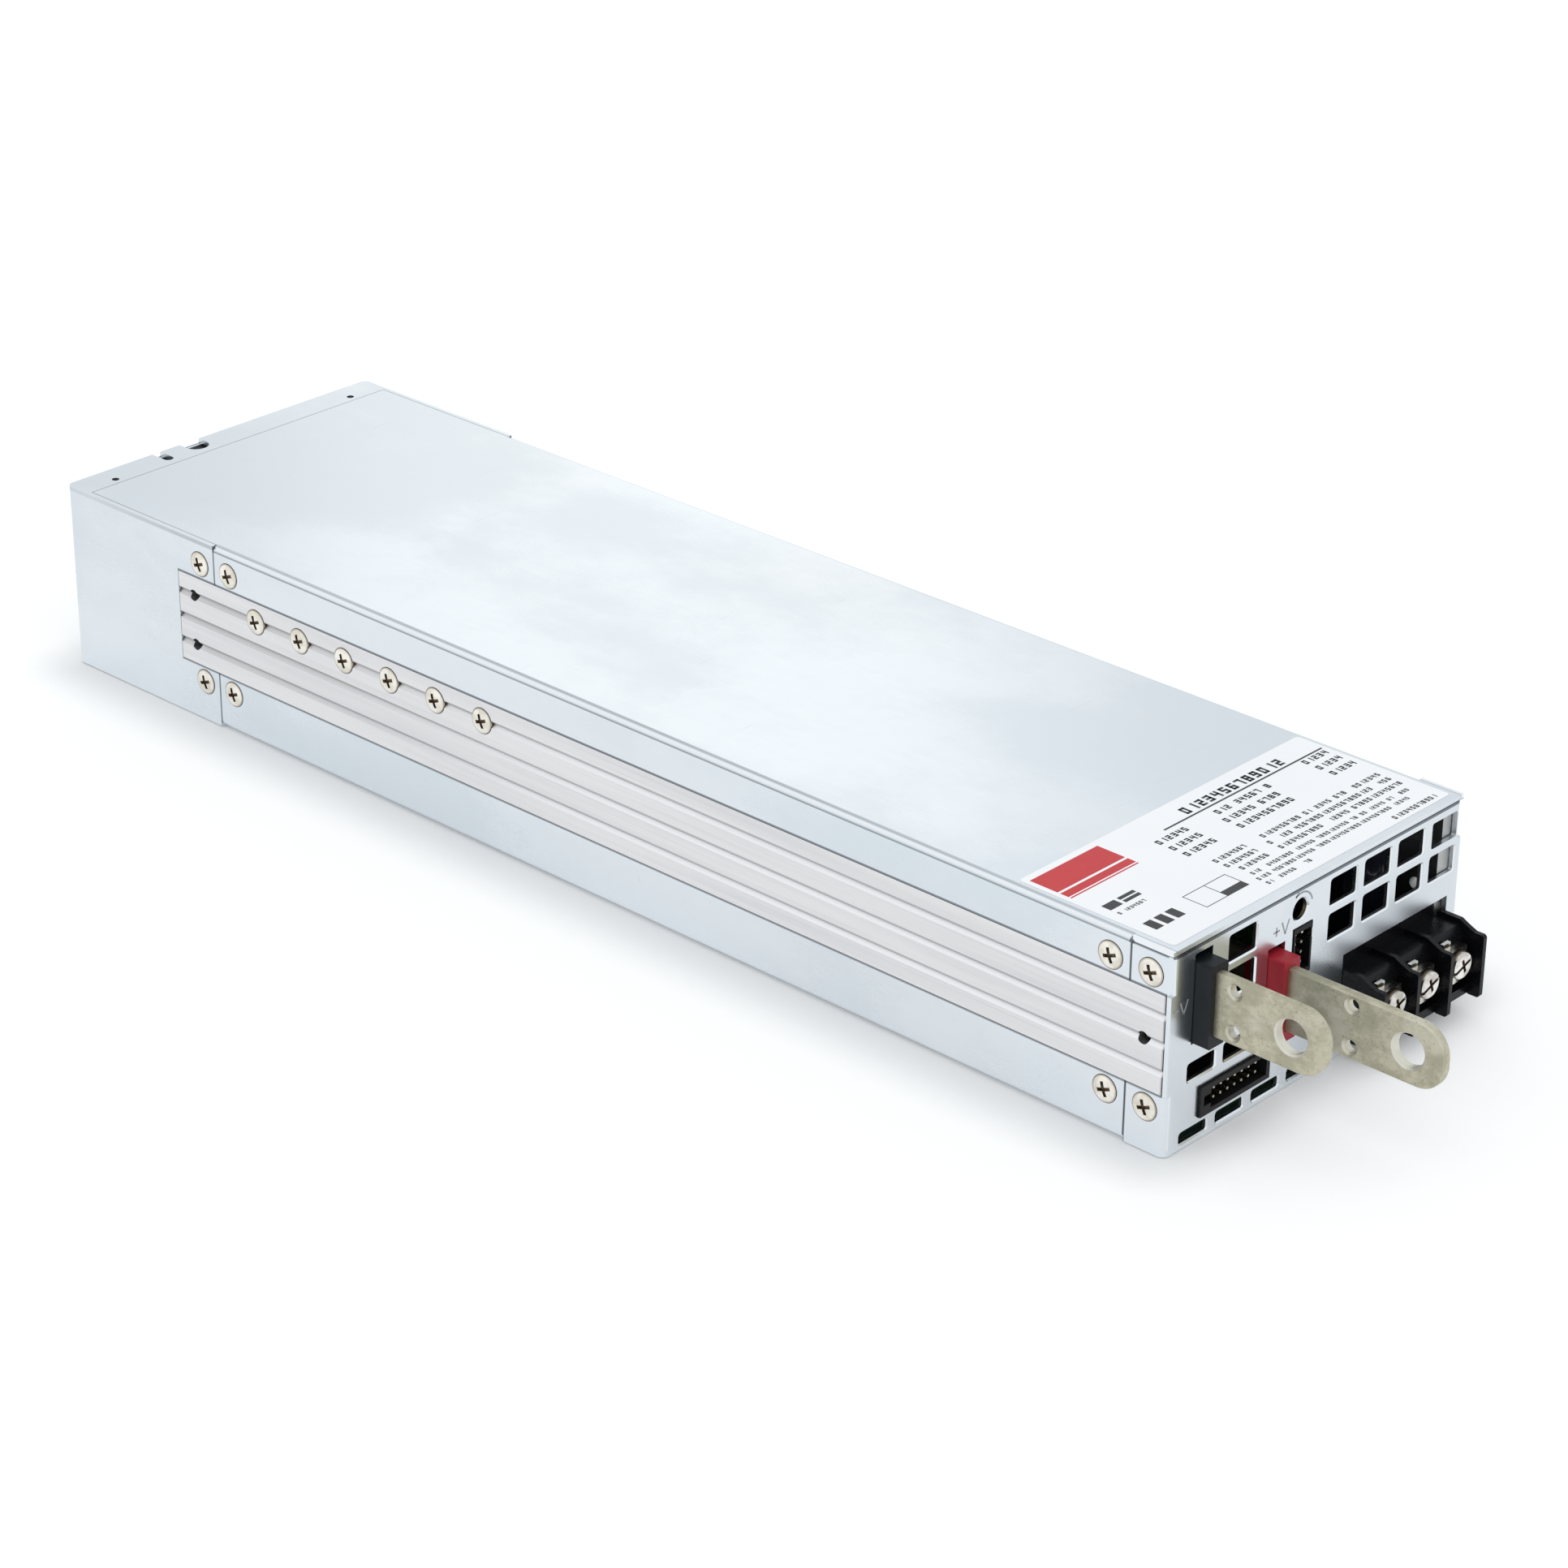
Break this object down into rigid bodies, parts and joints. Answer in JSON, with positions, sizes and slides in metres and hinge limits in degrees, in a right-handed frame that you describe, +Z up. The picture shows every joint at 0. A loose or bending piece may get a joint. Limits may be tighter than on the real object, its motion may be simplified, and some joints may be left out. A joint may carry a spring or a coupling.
{
  "type": "switching power supply",
  "caption": "Flat enclosed power supply with grooved heatsink sides, bent sheet covers, vented front with output bars and a screw terminal block, and rear fans.",
  "frame": {"origin": "centre of the case's bottom face", "axes": "+Z up, +Y towards the fans along the case's length, so the terminals face -Y; +X to the right when looking at the fans' direction from the terminals"},
  "size_m": [0.086, 0.3374, 0.0411],
  "materials": {
    "zinc_sheet": "bright zinc-plated steel sheet, fine rolling grain, light scuffs",
    "heatsink_aluminium": "satin extrusion with faint draw lines",
    "screw_steel": "nickel-plated cross-recess screw, slightly yellow",
    "label_paper": null,
    "tinned_bar": "tin-plated copper bar, satin, warm grey",
    "black_insulator": "moulded, semi-matte",
    "red_insulator": "moulded, semi-matte",
    "terminal_plastic": "glass-filled moulding",
    "terminal_metal": "nickel-plated, bright",
    "header_plastic": "moulded",
    "header_gold": "gold-plated pins",
    "board_laminate": "solder mask over laminate",
    "film": "thin clear-white film",
    "standoff_brass": "turned",
    "trimmer_plastic": "moulded",
    "trimmer_brass": "turned screw with one slot",
    "fan_plastic": "moulded",
    "device_epoxy": "moulded packages",
    "ferrite": "sintered, dull",
    "winding_tape": "taped winding",
    "enamelled_copper": "enamelled wire",
    "core_coating": "coated powder core",
    "capacitor_sleeve": "shrunk sleeve",
    "film_capacitor": "moulded box",
    "fuse_ceramic": "plain tube",
    "fuse_metal": "plated caps",
    "relay_plastic": "moulded box"
  },
  "bodies": {
    "case": {"board_standoffs": "standoff_brass", "boost_choke_core": "core_coating", "boost_choke_turns": "enamelled_copper", "bottom_cover": "zinc_sheet", "bulk_capacitors": "capacitor_sleeve", "control_board": "board_laminate", "control_header": "header_plastic", "control_header_pins": "header_gold", "fan_screws": "screw_steel", "film_capacitor": "film_capacitor", "front_panel": "zinc_sheet", "fuse_body": "fuse_ceramic", "fuse_caps": "fuse_metal", "inlet_capacitor": "capacitor_sleeve", "inrush_relay": "relay_plastic", "insulation_film": "film", "left_case_screws": "screw_steel", "left_fan_frame": "fan_plastic", "left_heatsink": "heatsink_aluminium", "left_heatsink_screws": "screw_steel", "left_power_devices": "device_epoxy", "line_choke_core": "ferrite", "line_choke_winding": "enamelled_copper", "main_board": "board_laminate", "negative_busbar": "tinned_bar", "negative_insulator": "black_insulator", "output_capacitors": "capacitor_sleeve", "output_choke_core": "core_coating", "output_choke_turns": "enamelled_copper", "output_header": "header_plastic", "output_header_pins": "header_gold", "positive_busbar": "tinned_bar", "positive_insulator": "red_insulator", "rating_label": "label_paper", "rear_panel": "zinc_sheet", "right_case_screws": "screw_steel", "right_fan_frame": "fan_plastic", "right_heatsink": "heatsink_aluminium", "right_heatsink_screws": "screw_steel", "right_power_devices": "device_epoxy", "terminal_block": "terminal_plastic", "terminal_contacts": "terminal_metal", "top_cover": "zinc_sheet", "transformer_core": "ferrite", "transformer_winding": "winding_tape", "trimmer_body": "trimmer_plastic"},
    "left_fan_rotor": {"left_fan_rotor": "fan_plastic"},
    "right_fan_rotor": {"right_fan_rotor": "fan_plastic"},
    "trimmer_rotor": {"trimmer_rotor": "trimmer_brass"},
    "terminal_clamp_1": {"terminal_clamp_1": "terminal_metal"},
    "terminal_screw_1": {"terminal_screw_1": "screw_steel"},
    "terminal_clamp_2": {"terminal_clamp_2": "terminal_metal"},
    "terminal_screw_2": {"terminal_screw_2": "screw_steel"},
    "terminal_clamp_3": {"terminal_clamp_3": "terminal_metal"},
    "terminal_screw_3": {"terminal_screw_3": "screw_steel"}
  },
  "joints": [
    {"name": "left_fan_spin", "type": "hinge", "parent": "case", "child": "left_fan_rotor", "pos_m": [-0.0205, 0.137, 0.0205], "axis": [0, 1, 0], "continuous": true},
    {"name": "right_fan_spin", "type": "hinge", "parent": "case", "child": "right_fan_rotor", "pos_m": [0.0205, 0.137, 0.0205], "axis": [0, 1, 0], "continuous": true},
    {"name": "trimmer_turn", "type": "hinge", "parent": "case", "child": "trimmer_rotor", "pos_m": [-0.0063, -0.1464, 0.0356], "axis": [0, 1, 0], "range_deg": [-135, 135]},
    {"name": "terminal_clamp_1_slide", "type": "slide", "parent": "case", "child": "terminal_clamp_1", "axis": [0, -1, 0], "range_m": [0, 0.0028]},
    {"name": "terminal_screw_1_turn", "type": "hinge", "parent": "terminal_clamp_1", "child": "terminal_screw_1", "pos_m": [0.0135, -0.157, 0.0116], "axis": [0, -1, 0], "range_deg": [0, 1441]},
    {"name": "terminal_clamp_2_slide", "type": "slide", "parent": "case", "child": "terminal_clamp_2", "axis": [0, -1, 0], "range_m": [0, 0.0028]},
    {"name": "terminal_screw_2_turn", "type": "hinge", "parent": "terminal_clamp_2", "child": "terminal_screw_2", "pos_m": [0.0237, -0.157, 0.0116], "axis": [0, -1, 0], "range_deg": [0, 1441]},
    {"name": "terminal_clamp_3_slide", "type": "slide", "parent": "case", "child": "terminal_clamp_3", "axis": [0, -1, 0], "range_m": [0, 0.0028]},
    {"name": "terminal_screw_3_turn", "type": "hinge", "parent": "terminal_clamp_3", "child": "terminal_screw_3", "pos_m": [0.0339, -0.157, 0.0116], "axis": [0, -1, 0], "range_deg": [0, 1441]}
  ],
  "couplings": [
    {"joint": "terminal_screw_1_turn", "follows": "terminal_clamp_1_slide", "rad_per_m": 8976},
    {"joint": "terminal_screw_2_turn", "follows": "terminal_clamp_2_slide", "rad_per_m": 8976},
    {"joint": "terminal_screw_3_turn", "follows": "terminal_clamp_3_slide", "rad_per_m": 8976}
  ]
}
